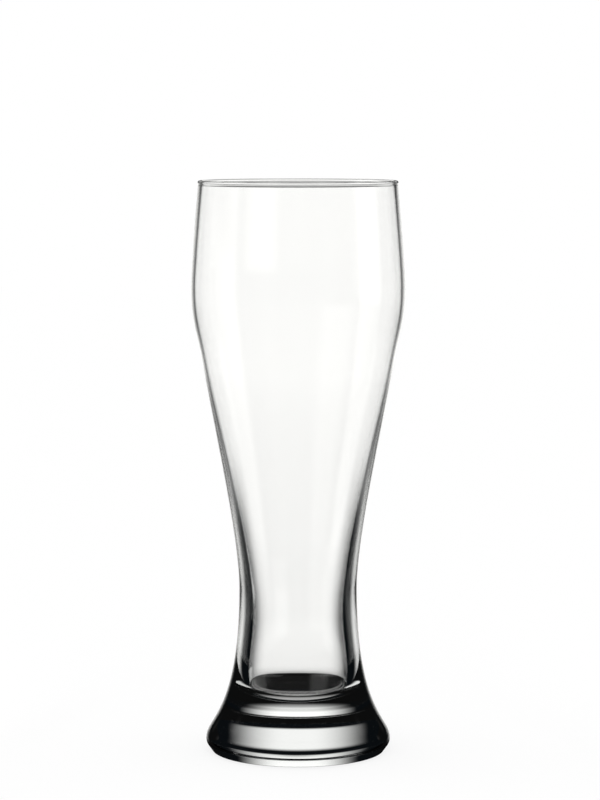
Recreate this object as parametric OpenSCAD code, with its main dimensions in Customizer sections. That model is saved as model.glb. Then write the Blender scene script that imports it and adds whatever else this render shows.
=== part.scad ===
// Weizen glass, a tall half-litre wheat-beer glass of clear soda-lime glass.
// Upright on its bearing ring, axis on Z, origin on the table under the axis.
// Four zones of one glass wall, meeting face to face on level planes: the
// pressed foot, the thick waist, the blown bowl and the fire-polished rim.

/* [Outer shape] */
// Height over the rim
glass_h = 217.5; // [205:0.5:240]
// Widest diameter of the foot
foot_d = 70.4; // [60:0.2:84]
// Height of the widest part of the foot
foot_edge_h = 5; // [3:0.1:9]
// Inward reach of the rounded edge under the foot
foot_edge_w = 2.3; // [1.2:0.1:6]
// Slope at which the rounded edge leaves the table, in degrees
foot_edge_slope = 56; // [25:1:75]
// Diameter of the waist
waist_d = 45; // [41:0.2:52]
// Height of the waist
waist_h = 62; // [54:0.2:72]
// Diameter high on the long slope, where it starts to round into the belly
slope_d = 72.2; // [69:0.2:75]
// Height of that place on the slope
slope_h = 148; // [142:0.5:154]
// Widest diameter, at the belly
belly_d = 81.1; // [77:0.1:92]
// Height of the belly
belly_h = 177; // [170:0.5:186]
// Outer diameter of the wall just under the bead
rim_d = 75.4; // [71:0.2:80]

/* [Wall and hollow] */
// Height at which the foot's solid glass passes into the waist
foot_top_h = 16; // [12:0.5:17.5]
// Height of the floor of the hollow at its middle
floor_h = 18.4; // [18:0.1:28]
// Rise of the dished floor from its middle to the wall
floor_rise = 6.8; // [4:0.1:10]
// Diameter of the hollow where the floor meets the wall
floor_d = 38.6; // [34:0.1:40]
// Diameter of the hollow at its narrowest
neck_d = 34.7; // [30:0.1:37]
// Height of the narrowest place of the hollow
neck_h = 52; // [42:0.5:58]
// Wall thickness on the slope
slope_wall = 1; // [0.8:0.1:2]
// Wall thickness at the belly
belly_wall = 1.5; // [0.9:0.1:2.4]
// Wall thickness under the bead
rim_wall = 1.5; // [0.9:0.1:2]

/* [Rim] */
// Outward reach of the round bead beyond the wall
bead_reach = 0.2; // [0.1:0.1:0.8]
// Height of the fire-polished zone
rim_h = 3.5; // [3:0.5:8]

/* [Underside] */
// Diameter of the shallow recess inside the bearing ring
recess_d = 44; // [36:1:56]
// Depth of the recess at its middle
recess_h = 0.2; // [0.1:0.1:2]

/* [Hidden] */
$fn = 96;

// Fullness of the curves: how far each end of a stretch keeps its direction,
// as a share of the stretch's height, or of its radius at the floor's middle
foot_under_share = 0.64;
foot_side_share = 0.5;
foot_top_share = 0.11;
waist_under_share = 0.82;
waist_over_share = 0.23;
slope_under_share = 0.34;
slope_over_share = 0.39;
belly_under_share = 0.42;
belly_over_share = 0.2;
rim_under_share = 0.1;
floor_middle_share = 0.75;
floor_side_share = 0.37;
neck_under_share = 0.4;
neck_over_share = 0.3;
hollow_slope_share = 0.25;
// Outward lean of the wall, as a share of height: widening on the slope and
// drawing in under the rim
slope_lean_share = 0.174;
rim_lean_share = -0.105;

curve_steps = 20;
corner_steps = 8;
floor_steps = 14;
// Overrun of cuts past the faces they open
cut = 1;

function turn(share) = 90 * share;

// Point at t on the curve from a to b, with handles ha and hb
function curve_at(a, ha, hb, b, t) =
    pow(1 - t, 3) * a + 3 * pow(1 - t, 2) * t * ha + 3 * (1 - t) * t * t * hb + pow(t, 3) * b;

// Curve from a up to b, with an outward lean at both ends that is kept for
// share_a and share_b of the height
function sweep_up(a, b, share_a, share_b, lean_a = 0, lean_b = 0) =
    let (rise = b.y - a.y)
    [for (i = [1:curve_steps])
        curve_at(
            a,
            a + share_a * rise * [lean_a, 1],
            b - share_b * rise * [lean_b, 1],
            b,
            i / curve_steps
        )
    ];

// Rounded edge from a on the table up to b, sloping at first and upright at b
function rolled_edge(a, b, slope) =
    [for (i = [0:corner_steps])
        curve_at(
            a,
            a + foot_under_share * norm(b - a) * [cos(slope), sin(slope)],
            b - [0, foot_side_share * (b.y - a.y)],
            b,
            i / corner_steps
        )
    ];

// Dished floor from its middle on the axis out to its edge, level at the middle
// and upright at the edge
function dished_floor(middle, edge) =
    [for (i = [0:floor_steps])
        curve_at(
            middle,
            middle + [floor_middle_share * edge.x, 0],
            edge - [0, floor_side_share * (edge.y - middle.y)],
            edge,
            i / floor_steps
        )
    ];

bead_r = (rim_wall + bead_reach) / 2;
bead_h = glass_h - bead_r;

bearing_at = [foot_d / 2 - foot_edge_w, 0];
foot_edge_at = [foot_d / 2, foot_edge_h];
waist_at = [waist_d / 2, waist_h];
slope_at = [slope_d / 2, slope_h];
belly_at = [belly_d / 2, belly_h];
rim_at = [rim_d / 2, bead_h];

floor_at = [0, floor_h];
floor_edge_at = [floor_d / 2, floor_h + floor_rise];
neck_at = [neck_d / 2, neck_h];
hollow_slope_at = [slope_d / 2 - slope_wall, slope_h];
hollow_belly_at = [belly_d / 2 - belly_wall, belly_h];
hollow_rim_at = [rim_d / 2 - rim_wall, bead_h];

outer_curve = concat(
    rolled_edge(bearing_at, foot_edge_at, foot_edge_slope),
    sweep_up(foot_edge_at, waist_at, foot_top_share, waist_under_share),
    sweep_up(waist_at, slope_at, waist_over_share, slope_under_share, 0, slope_lean_share),
    sweep_up(slope_at, belly_at, slope_over_share, belly_under_share, slope_lean_share),
    sweep_up(belly_at, rim_at, belly_over_share, rim_under_share, 0, rim_lean_share)
);

hollow_curve = concat(
    dished_floor(floor_at, floor_edge_at),
    sweep_up(floor_edge_at, neck_at, neck_under_share, neck_under_share),
    sweep_up(neck_at, hollow_slope_at, neck_over_share, hollow_slope_share, 0, slope_lean_share),
    sweep_up(hollow_slope_at, hollow_belly_at, slope_over_share, belly_under_share, slope_lean_share),
    sweep_up(hollow_belly_at, hollow_rim_at, belly_over_share, rim_under_share, 0, rim_lean_share)
);

// Half section of the glass filled to its outer face
module outer_outline() {
    polygon(concat([[0, 0]], outer_curve, [[0, bead_h]]));
}

// Half section of the space inside, open at the top
module hollow_outline() {
    polygon(concat(
        hollow_curve,
        [[hollow_rim_at.x, glass_h + cut], [0, glass_h + cut]]
    ));
}

// Half section of the shallow domed recess under the foot
module recess_outline() {
    dome = [for (i = [0:corner_steps])
        [recess_d / 2 * cos(turn(i / corner_steps)), recess_h * sin(turn(i / corner_steps))]
    ];
    polygon(concat([[0, -cut], [recess_d / 2, -cut]], dome));
}

// Half section of the wall between two heights
module wall_section(from_h, to_h) {
    intersection() {
        difference() {
            outer_outline();
            hollow_outline();
            recess_outline();
        }
        translate([0, from_h])
            square([max(foot_d, belly_d), to_h - from_h]);
    }
}

// Solid pressed base with its rounded edge and bearing ring
module foot() {
    color([0.80, 0.86, 0.84])
    rotate_extrude()
        wall_section(0, foot_top_h);
}

// Thick narrow stretch with the closed floor of the hollow
module waist() {
    color([0.87, 0.92, 0.90])
    rotate_extrude()
        wall_section(foot_top_h, waist_h);
}

// Blown wall that widens to the belly
module bowl() {
    color([0.93, 0.97, 0.96])
    rotate_extrude()
        wall_section(waist_h, glass_h - rim_h);
}

// Top of the wall with the round bead of the lip, level with the wall inside
module rim() {
    color([0.74, 0.80, 0.78])
    rotate_extrude()
        union() {
            wall_section(glass_h - rim_h, bead_h);
            translate([rim_d / 2 + bead_reach - bead_r, bead_h])
                circle(r = bead_r);
        }
}

foot();
waist();
bowl();
rim();
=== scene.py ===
import math

import bpy
import numpy as np
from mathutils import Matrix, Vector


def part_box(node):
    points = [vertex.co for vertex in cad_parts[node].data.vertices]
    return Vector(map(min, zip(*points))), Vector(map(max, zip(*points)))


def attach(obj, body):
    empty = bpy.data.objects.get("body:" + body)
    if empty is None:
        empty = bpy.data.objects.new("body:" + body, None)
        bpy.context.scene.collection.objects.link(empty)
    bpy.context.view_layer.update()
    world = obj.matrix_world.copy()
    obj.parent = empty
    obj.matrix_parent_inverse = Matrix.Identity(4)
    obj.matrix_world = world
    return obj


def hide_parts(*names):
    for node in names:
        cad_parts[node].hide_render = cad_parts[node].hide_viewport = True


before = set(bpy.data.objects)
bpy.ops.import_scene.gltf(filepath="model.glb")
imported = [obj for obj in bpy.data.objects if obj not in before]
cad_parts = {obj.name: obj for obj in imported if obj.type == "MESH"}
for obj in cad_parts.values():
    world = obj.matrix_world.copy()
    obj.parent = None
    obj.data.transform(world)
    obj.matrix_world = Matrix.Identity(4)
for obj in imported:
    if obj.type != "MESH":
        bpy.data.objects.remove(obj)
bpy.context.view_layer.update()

# The glass
# One piece of clear soda-lime glass: the foot is pressed solid, the wall is blown up from it,
# and the lip is melted round in a flame. One closed skin stands for foot, waist, bowl and rim.

STUDIO = bpy.context.scene.collection
MM = 0.001

GLASS_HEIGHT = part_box("rim")[1].z
FOOT_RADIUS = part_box("foot")[1].x
FOOT_EDGE_HEIGHT = 5.0 * MM
BEARING_RADIUS = 32.9 * MM
BEARING_SLOPE = 56
RECESS_RADIUS = 22 * MM
RECESS_DEPTH = 0.2 * MM
WAIST_RADIUS = 22.5 * MM
WAIST_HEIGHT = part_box("waist")[1].z
SLOPE_RADIUS = 36.1 * MM
SLOPE_HEIGHT = 148 * MM
SLOPE_LEAN = 0.174
BELLY_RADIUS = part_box("bowl")[1].x
BELLY_HEIGHT = 177 * MM
RIM_RADIUS = 37.7 * MM
RIM_LEAN = -0.105

FLOOR_HEIGHT = 18.4 * MM
FLOOR_RISE = 6.8 * MM
FLOOR_RADIUS = 19.3 * MM
NECK_RADIUS = 17.35 * MM
NECK_HEIGHT = 52 * MM
SLOPE_WALL = 1.0 * MM
BELLY_WALL = 1.5 * MM
RIM_WALL = 1.5 * MM
BEAD_OUT = 0.2 * MM
BEAD_RADIUS = (RIM_WALL + BEAD_OUT) / 2
LIP_START = -34.5
SEAM_GAP = 0.01 * MM

# Shares of the rise, or of the radius, for which a curve keeps its direction at its start and end
EDGE_SHARES = (0.64, 0.5)
FOOT_SHARES = (0.11, 0.82)
WAIST_SHARES = (0.23, 0.34)
SLOPE_SHARES = (0.39, 0.42)
BELLY_SHARES = (0.2, 0.1)
FLOOR_SHARES = (0.75, 0.37)
NECK_UNDER_SHARES = (0.4, 0.4)
NECK_OVER_SHARES = (0.3, 0.25)

TURNS_AROUND = 180
BEARING_STEPS = 12
SHORT_STEPS = 30
EDGE_STEPS = 32
LIP_STEPS = 44
FLOOR_STEPS = 48
FOOT_STEPS = 60
LONG_STEPS = 80


def curve(start, start_handle, end_handle, end, steps):
    """Cubic curve (1-t)^3 a + 3(1-t)^2 t ha + 3(1-t) t^2 hb + t^3 b, without its first point."""
    t = np.linspace(0, 1, steps + 1)[1:, None]
    a, ha, hb, b = (np.array(p) for p in (start, start_handle, end_handle, end))
    return (1 - t)**3 * a + 3 * (1 - t)**2 * t * ha + 3 * (1 - t) * t**2 * hb + t**3 * b


def sweep_up(start, end, shares, steps, start_lean=0, end_lean=0):
    """Cubic curve with an outward lean at both ends, each kept for its share of the rise."""
    rise = end[1] - start[1]
    below, above = shares[0] * rise, shares[1] * rise
    return curve(
        start,
        (start[0] + start_lean * below, start[1] + below),
        (end[0] - end_lean * above, end[1] - above),
        end,
        steps,
    )


def arc(centre, width, height, start_degrees, end_degrees, steps):
    """Points centre + (width cos a, height sin a), for a from start to end."""
    a = np.radians(np.linspace(start_degrees, end_degrees, steps + 1))
    return np.stack([centre[0] + width * np.cos(a), centre[1] + height * np.sin(a)], 1)


def spun_skin(name, profile, around):
    """Surface (r(s) cos a, r(s) sin a, z(s)) of a profile that starts and ends on the axis, with one
    point at each pole, so that the skin is closed."""
    a = np.linspace(0, 2 * math.pi, around, endpoint=False)
    r, z = profile[1:-1, 0], profile[1:-1, 1]
    ring = np.stack([np.outer(r, np.cos(a)), np.outer(r, np.sin(a)), np.outer(z, np.ones(around))], -1)
    poles = [[0, 0, profile[0, 1]], [0, 0, profile[-1, 1]]]
    points = np.concatenate([ring.reshape(-1, 3), poles])
    s = np.arange(len(r) - 1)[:, None] * around
    here, there = np.arange(around), (np.arange(around) + 1) % around
    sides = np.stack([s + here, s + there, s + around + there, s + around + here], -1).reshape(-1, 4)
    first, last = len(r) * around, len(r) * around + 1
    top = (len(r) - 1) * around
    cap_low = np.stack([np.full(around, first), there, here], 1)
    cap_high = np.stack([np.full(around, last), top + here, top + there], 1)
    mesh = bpy.data.meshes.new(name)
    mesh.from_pydata(points.tolist(), [], sides.tolist() + cap_low.tolist() + cap_high.tolist())
    mesh.polygons.foreach_set("use_smooth", np.ones(len(mesh.polygons), bool))
    skin = bpy.data.objects.new(name, mesh)
    STUDIO.objects.link(skin)
    return skin


bead_centre = (RIM_RADIUS + BEAD_OUT - BEAD_RADIUS, GLASS_HEIGHT - BEAD_RADIUS)
recess_edge = (RECESS_RADIUS, 0)
bearing = (BEARING_RADIUS, 0)
foot_edge = (FOOT_RADIUS, FOOT_EDGE_HEIGHT)
waist = (WAIST_RADIUS, WAIST_HEIGHT)
slope_place = (SLOPE_RADIUS, SLOPE_HEIGHT)
belly = (BELLY_RADIUS, BELLY_HEIGHT)
rim = (RIM_RADIUS, bead_centre[1])
floor_middle = (0, FLOOR_HEIGHT)
floor_edge = (FLOOR_RADIUS, FLOOR_HEIGHT + FLOOR_RISE)
neck = (NECK_RADIUS, NECK_HEIGHT)
inner_slope = (SLOPE_RADIUS - SLOPE_WALL, SLOPE_HEIGHT)
inner_belly = (BELLY_RADIUS - BELLY_WALL, BELLY_HEIGHT)
inner_rim = (RIM_RADIUS - RIM_WALL, bead_centre[1])
edge_reach = EDGE_SHARES[0] * math.hypot(FOOT_RADIUS - BEARING_RADIUS, FOOT_EDGE_HEIGHT)
bearing_slope = math.radians(BEARING_SLOPE)

underside = np.concatenate([
    arc((0, 0), RECESS_RADIUS, RECESS_DEPTH, 90, 0, EDGE_STEPS),
    curve(recess_edge, recess_edge, bearing, bearing, BEARING_STEPS),
    curve(
        bearing,
        (BEARING_RADIUS + edge_reach * math.cos(bearing_slope), edge_reach * math.sin(bearing_slope)),
        (FOOT_RADIUS, EDGE_SHARES[1] * FOOT_EDGE_HEIGHT),
        foot_edge,
        EDGE_STEPS,
    ),
])
outside = np.concatenate([
    sweep_up(foot_edge, waist, FOOT_SHARES, FOOT_STEPS),
    sweep_up(waist, slope_place, WAIST_SHARES, LONG_STEPS, 0, SLOPE_LEAN),
    sweep_up(slope_place, belly, SLOPE_SHARES, SHORT_STEPS, SLOPE_LEAN, 0),
    sweep_up(belly, rim, BELLY_SHARES, SHORT_STEPS, 0, RIM_LEAN),
])
lip = arc(bead_centre, BEAD_RADIUS, BEAD_RADIUS, LIP_START, 180, LIP_STEPS)
outside = outside[outside[:, 1] < lip[0, 1]]
inside = np.concatenate([
    curve(
        floor_middle,
        (FLOOR_SHARES[0] * FLOOR_RADIUS, FLOOR_HEIGHT),
        (FLOOR_RADIUS, floor_edge[1] - FLOOR_SHARES[1] * FLOOR_RISE),
        floor_edge,
        FLOOR_STEPS,
    ),
    sweep_up(floor_edge, neck, NECK_UNDER_SHARES, SHORT_STEPS),
    sweep_up(neck, inner_slope, NECK_OVER_SHARES, LONG_STEPS, 0, SLOPE_LEAN),
    sweep_up(inner_slope, inner_belly, SLOPE_SHARES, SHORT_STEPS, SLOPE_LEAN, 0),
    sweep_up(inner_belly, inner_rim, BELLY_SHARES, SHORT_STEPS, 0, RIM_LEAN),
])
inside = inside[inside[:, 1] < lip[-1, 1] - SEAM_GAP]
section = np.concatenate([underside, outside, lip, inside[::-1], [floor_middle]])
section[0, 0] = 0

glass = spun_skin("weizen_glass", section, TURNS_AROUND)

# Blown glass is never quite even: it waves softly. The pressed foot keeps fine level rings of the
# mould, and the bearing ring has the specks of wear of standing on tables.

GLASS_INDEX = 1.52
GLASS_TINT = (0.97, 0.99, 0.985, 1)
TINT_DENSITY = 8
WAVE_SCALE = 14
WAVE_HEIGHT = 0.12 * MM
RING_SCALE = 450
RING_STRETCH = (0.12, 0.12, 1)
RING_SHARE = 0.07
RING_ZONE = (18 * MM, 27 * MM)
SPECK_SCALE = 900
SPECK_RANGE = (0.58, 0.66)
SPECK_ZONE = (0.02 * MM, 0.08 * MM)
WEAR = 0.2


def node(tree, kind, inputs, output=0, **settings):
    """New shader node with its settings. Each input is a number, a colour or another node's output."""
    made = tree.nodes.new(kind)
    for name, value in settings.items():
        setattr(made, name, value)
    for name, value in inputs.items():
        if isinstance(value, bpy.types.NodeSocket):
            tree.links.new(value, made.inputs[name])
        else:
            made.inputs[name].default_value = value
    return made.outputs[output]


def maths(tree, operation, a, b=0.0, c=0.0):
    """The maths operation on up to three numbers or outputs."""
    return node(tree, "ShaderNodeMath", {0: a, 1: b, 2: c}, operation=operation)


def ramp(tree, value, start, end, low, high, kind="SMOOTHSTEP"):
    """Goes from low to high while value goes from start to end, softly unless another kind is given."""
    return node(tree, "ShaderNodeMapRange", {
        "Value": value, "From Min": start, "From Max": end, "To Min": low, "To Max": high,
    }, interpolation_type=kind)


def coordinates(tree, vector):
    """The X, Y and Z outputs of a vector."""
    parts = tree.nodes.new("ShaderNodeSeparateXYZ")
    tree.links.new(vector, parts.inputs[0])
    return parts.outputs


clear = bpy.data.materials.new("clear soda-lime glass")
clear.use_nodes = True
clear_tree = clear.node_tree
shader = clear_tree.nodes["Principled BSDF"]
shader.inputs["Base Color"].default_value = (1, 1, 1, 1)
shader.inputs["Roughness"].default_value = 0
shader.inputs["IOR"].default_value = GLASS_INDEX
shader.inputs["Transmission Weight"].default_value = 1
tint = node(clear_tree, "ShaderNodeVolumeAbsorption", {"Color": GLASS_TINT, "Density": TINT_DENSITY})
clear_tree.links.new(tint, clear_tree.nodes["Material Output"].inputs["Volume"])

glass_place = node(clear_tree, "ShaderNodeTexCoord", {}, "Object")
glass_level = coordinates(clear_tree, glass_place)["Z"]
waves = node(clear_tree, "ShaderNodeTexNoise", {"Vector": glass_place, "Scale": WAVE_SCALE, "Detail": 1})
wide_place = node(clear_tree, "ShaderNodeVectorMath", {
    0: glass_place, 1: RING_STRETCH,
}, operation="MULTIPLY")
rings = node(clear_tree, "ShaderNodeTexNoise", {"Vector": wide_place, "Scale": RING_SCALE, "Detail": 1})
foot_rings = maths(clear_tree, "MULTIPLY", rings, ramp(clear_tree, glass_level, *RING_ZONE, 1, 0))
relief = maths(clear_tree, "MULTIPLY_ADD", foot_rings, RING_SHARE, waves)
uneven = node(clear_tree, "ShaderNodeBump", {"Height": relief, "Distance": WAVE_HEIGHT, "Strength": 1})
clear_tree.links.new(uneven, shader.inputs["Normal"])
grains = node(clear_tree, "ShaderNodeTexNoise", {
    "Vector": glass_place, "Scale": SPECK_SCALE, "Detail": 3,
})
specks = ramp(clear_tree, grains, *SPECK_RANGE, 0, WEAR, "LINEAR")
worn = maths(clear_tree, "MULTIPLY", specks, ramp(clear_tree, glass_level, *SPECK_ZONE, 1, 0))
clear_tree.links.new(worn, shader.inputs["Roughness"])
glass.data.materials.append(clear)
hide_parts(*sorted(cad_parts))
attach(glass, "root")

# The table
# A wide pale table. The camera sees it evenly white with the faint shadow of the glass. What the
# glass bends sees a painted shade under the foot, nearly black, with a weak painted glow in the middle,
# and open further out.

TABLE_HALF = 3.0
OWN_WHITE = 0.80
LIT_WHITE = (1 - OWN_WHITE, 1 - OWN_WHITE, 1 - OWN_WHITE, 1)
# Colour and levels of the painted shade under the foot and of the painted glow in its middle
PAINTED_SHADE_AND_GLOW_COLOUR = (1, 1, 0.98, 1)
SHADE_LEVEL = 0.004
SHADE_ENDS = (38.5 * MM, 49.5 * MM)
GLOW_LEVEL = 0.43
GLOW_BACK = (-2 * MM, 3.5 * MM)
GLOW_AROUND = (9 * MM, 27 * MM)

table_mesh = bpy.data.meshes.new("table")
table_mesh.from_pydata([
    (-TABLE_HALF, -TABLE_HALF, 0), (TABLE_HALF, -TABLE_HALF, 0),
    (TABLE_HALF, TABLE_HALF, 0), (-TABLE_HALF, TABLE_HALF, 0),
], [], [(0, 1, 2, 3)])
table = bpy.data.objects.new("table", table_mesh)
STUDIO.objects.link(table)

pale = bpy.data.materials.new("pale table")
pale.use_nodes = True
pale_tree = pale.node_tree
pale_tree.nodes.clear()
by_eye = node(pale_tree, "ShaderNodeLightPath", {}, "Is Camera Ray")
lit = node(pale_tree, "ShaderNodeBsdfDiffuse", {"Color": LIT_WHITE})
own = node(pale_tree, "ShaderNodeEmission", {"Color": (1, 1, 1, 1), "Strength": OWN_WHITE})
seen = node(pale_tree, "ShaderNodeAddShader", {0: lit, 1: own})

table_place = node(pale_tree, "ShaderNodeTexCoord", {}, "Object")
from_axis = node(pale_tree, "ShaderNodeVectorMath", {0: table_place}, "Value", operation="LENGTH")
table_depth = coordinates(pale_tree, table_place)["Y"]
# Painted glow: a weak pool of light painted on the table in the middle under the foot, on its front
# half, seen only through the glass
painted_glow = maths(
    pale_tree,
    "MULTIPLY",
    ramp(pale_tree, table_depth, *GLOW_BACK, GLOW_LEVEL, 0),
    ramp(pale_tree, from_axis, *GLOW_AROUND, 1, 0),
)
# Painted shade: under the foot the table is a near-black emission, with the painted glow added, for rays
# bent by the glass; further out it is open
painted_under_level = maths(pale_tree, "ADD", painted_glow, SHADE_LEVEL)
painted_shade_and_glow = node(pale_tree, "ShaderNodeEmission", {"Color": PAINTED_SHADE_AND_GLOW_COLOUR, "Strength": painted_under_level})
open_air = node(pale_tree, "ShaderNodeBsdfTransparent", {})
clear_of_foot = ramp(pale_tree, from_axis, *SHADE_ENDS, 0, 1)
through_glass = node(pale_tree, "ShaderNodeMixShader", {0: clear_of_foot, 1: painted_shade_and_glow, 2: open_air})
table_look = node(pale_tree, "ShaderNodeMixShader", {0: by_eye, 1: through_glass, 2: seen})
pale_out = pale_tree.nodes.new("ShaderNodeOutputMaterial")
pale_tree.links.new(table_look, pale_out.inputs["Surface"])
table_mesh.materials.append(pale)

# The studio light
# A bright sweep stands behind the glass with dark felt at both sides, which draws the dark edges of
# clear glass. A soft light above it and a faint room in front fill the upper wall.

SWEEP_COLOUR = (1, 1, 0.982, 1)
FELT = (0.003, 0.004, 0.005, 1)

# Angles in degrees: around the glass from straight behind it, and up from level
SWEEP_AROUND = (7, 33)
SWEEP_TOP = (-0.6, 1.8)
SWEEP_BRIGHTER = (-12.5, -6.5, 1.03, 1.14)
SWEEP_DIMMER = (-31, -18, 0.6, 1)
ABOVE_AROUND = (5, 40)
ABOVE_FOOT = (4, 11)
ABOVE_TOP = (13, 18)
ROOM_AROUND = (75, 95)
ROOM_TOP = (-10, -6)
ROOM_LEVEL = 0.13
SIDE_AROUND = (10, 29)
SIDE_SOFT = 3
# Weaker sweeps at the sides: direction, top, level, and the least number of glass surfaces that a
# ray has met, so that they light the bowl from other sides and leave the waist's dark edges
SIDE_SWEEPS = ((-90, 5, 0.85, 3), (135, -6, 0.85, 3), (-45, -16, 0.7, 4))

world = bpy.data.worlds.new("studio")
bpy.context.scene.world = world
world.use_nodes = True
sky = world.node_tree
sky.nodes.clear()


def by_angle(value, start, end, low, high, kind="SMOOTHSTEP"):
    """Ramp from low to high while the angle goes from start to end, in degrees."""
    return ramp(sky, value, math.radians(start), math.radians(end), low, high, kind)


def off_from(direction):
    """Angle, without its sign, between the ray's turn and a direction in degrees."""
    turned = maths(sky, "SUBTRACT", turn_angle, math.radians(direction))
    return maths(sky, "ABSOLUTE", maths(sky, "WRAP", turned, math.pi, -math.pi))


def product(first, *others):
    """Product of several outputs."""
    for other in others:
        first = maths(sky, "MULTIPLY", first, other)
    return first


towards = coordinates(sky, node(sky, "ShaderNodeTexCoord", {}, "Generated"))
rise_angle = maths(sky, "ARCSINE", towards["Z"])
turn_angle = maths(sky, "ARCTAN2", towards["X"], towards["Y"])
from_back = maths(sky, "ABSOLUTE", turn_angle)

sweep = product(
    by_angle(from_back, *SWEEP_AROUND, 1, 0),
    by_angle(rise_angle, *SWEEP_BRIGHTER, "LINEAR"),
    by_angle(rise_angle, *SWEEP_TOP, 1, 0),
    by_angle(rise_angle, *SWEEP_DIMMER),
)
above = product(
    by_angle(from_back, *ABOVE_AROUND, 1, 0),
    by_angle(rise_angle, *ABOVE_FOOT, 0, 1),
    by_angle(rise_angle, *ABOVE_TOP, 1, 0),
)
room = product(by_angle(from_back, *ROOM_AROUND, 0, ROOM_LEVEL), by_angle(rise_angle, *ROOM_TOP, 1, 0))
bright = maths(sky, "MAXIMUM", maths(sky, "MAXIMUM", sweep, above), room)

# Here, ray depth is one more than the number of surfaces met
ray_depth = node(sky, "ShaderNodeLightPath", {}, "Ray Depth")
for direction, side_top, side_level, surfaces in SIDE_SWEEPS:
    side_sweep = product(
        by_angle(rise_angle, side_top - SIDE_SOFT, side_top, 1, 0),
        maths(sky, "GREATER_THAN", ray_depth, surfaces + 0.5),
        by_angle(off_from(direction), *SIDE_AROUND, side_level, 0),
    )
    bright = maths(sky, "MAXIMUM", bright, side_sweep)
studio = node(sky, "ShaderNodeMix", {
    "Factor": bright, "A": FELT, "B": SWEEP_COLOUR,
}, "Result", data_type="RGBA", clamp_factor=False)
even = maths(
    sky,
    "MAXIMUM",
    node(sky, "ShaderNodeLightPath", {}, "Is Camera Ray"),
    node(sky, "ShaderNodeLightPath", {}, "Is Diffuse Ray"),
)
light = node(sky, "ShaderNodeMix", {
    "Factor": even, "A": studio, "B": (1, 1, 1, 1),
}, "Result", data_type="RGBA")
background = node(sky, "ShaderNodeBackground", {"Color": light, "Strength": 1.0})
sky_out = sky.nodes.new("ShaderNodeOutputWorld")
sky.links.new(background, sky_out.inputs["Surface"])

# The side cards
# Two white cards stand close behind the glass at its sides. They light the upper wall and its
# reflections, and end above the waist, which stays dark at the edges. The camera doesn't see them.

CARD_COLOUR = (1, 1, 0.985, 1)
CARD_DIRECTION = 72
CARD_DISTANCE = 110 * MM
CARD_HALF = 50 * MM
CARD_SOFT = 22 * MM
CARD_FOOT = 50 * MM
CARD_FULL = 80 * MM
CARD_TOP = 300 * MM
# Side and level
CARDS = ((-1, 0.9), (1, 0.7))

for side, card_level in CARDS:
    card_turn = side * math.radians(CARD_DIRECTION)
    card_mesh = bpy.data.meshes.new("card")
    card_mesh.from_pydata([
        (-CARD_HALF, 0, 0), (CARD_HALF, 0, 0), (CARD_HALF, 0, CARD_TOP), (-CARD_HALF, 0, CARD_TOP),
    ], [], [(0, 1, 2, 3)])
    card = bpy.data.objects.new("side_card", card_mesh)
    card.location = (CARD_DISTANCE * math.sin(card_turn), CARD_DISTANCE * math.cos(card_turn), 0)
    card.rotation_euler = (0, 0, -card_turn)
    STUDIO.objects.link(card)
    white = bpy.data.materials.new("white card")
    white.use_nodes = True
    card_tree = white.node_tree
    card_tree.nodes.clear()
    card_place = coordinates(card_tree, node(card_tree, "ShaderNodeTexCoord", {}, "Object"))
    upward = ramp(card_tree, card_place["Z"], CARD_FOOT, CARD_FULL, 0, card_level)
    aside = maths(card_tree, "ABSOLUTE", card_place["X"])
    soft_sides = ramp(card_tree, aside, CARD_HALF - CARD_SOFT, CARD_HALF, 1, 0)
    card_glow = maths(card_tree, "MULTIPLY", upward, soft_sides)
    shine = node(card_tree, "ShaderNodeEmission", {"Color": CARD_COLOUR, "Strength": card_glow})
    bare = node(card_tree, "ShaderNodeBsdfTransparent", {})
    shining = node(card_tree, "ShaderNodeAddShader", {0: shine, 1: bare})
    unseen = maths(
        card_tree,
        "MAXIMUM",
        node(card_tree, "ShaderNodeLightPath", {}, "Is Camera Ray"),
        node(card_tree, "ShaderNodeLightPath", {}, "Is Diffuse Ray"),
    )
    card_look = node(card_tree, "ShaderNodeMixShader", {0: unseen, 1: shining, 2: bare})
    card_out = card_tree.nodes.new("ShaderNodeOutputMaterial")
    card_tree.links.new(card_look, card_out.inputs["Surface"])
    card_mesh.materials.append(white)

# The camera
# It stands a little above the rim and looks slightly down, from about a metre away.

CAMERA_DISTANCE = 1.080
CAMERA_HEIGHT = 0.2394
CAMERA_PITCH = 5.556
CAMERA_ASIDE = 0.73 * MM
CAMERA_LENS = 128.6
CAMERA_SENSOR = 36

lens = bpy.data.cameras.new("camera")
lens.sensor_width = CAMERA_SENSOR
lens.lens = CAMERA_LENS
camera = bpy.data.objects.new("camera", lens)
camera.location = (CAMERA_ASIDE, -CAMERA_DISTANCE, CAMERA_HEIGHT)
camera.rotation_euler = (math.radians(90 - CAMERA_PITCH), 0, 0)
STUDIO.objects.link(camera)
bpy.context.scene.camera = camera
bpy.context.scene.view_settings.view_transform = "Standard"
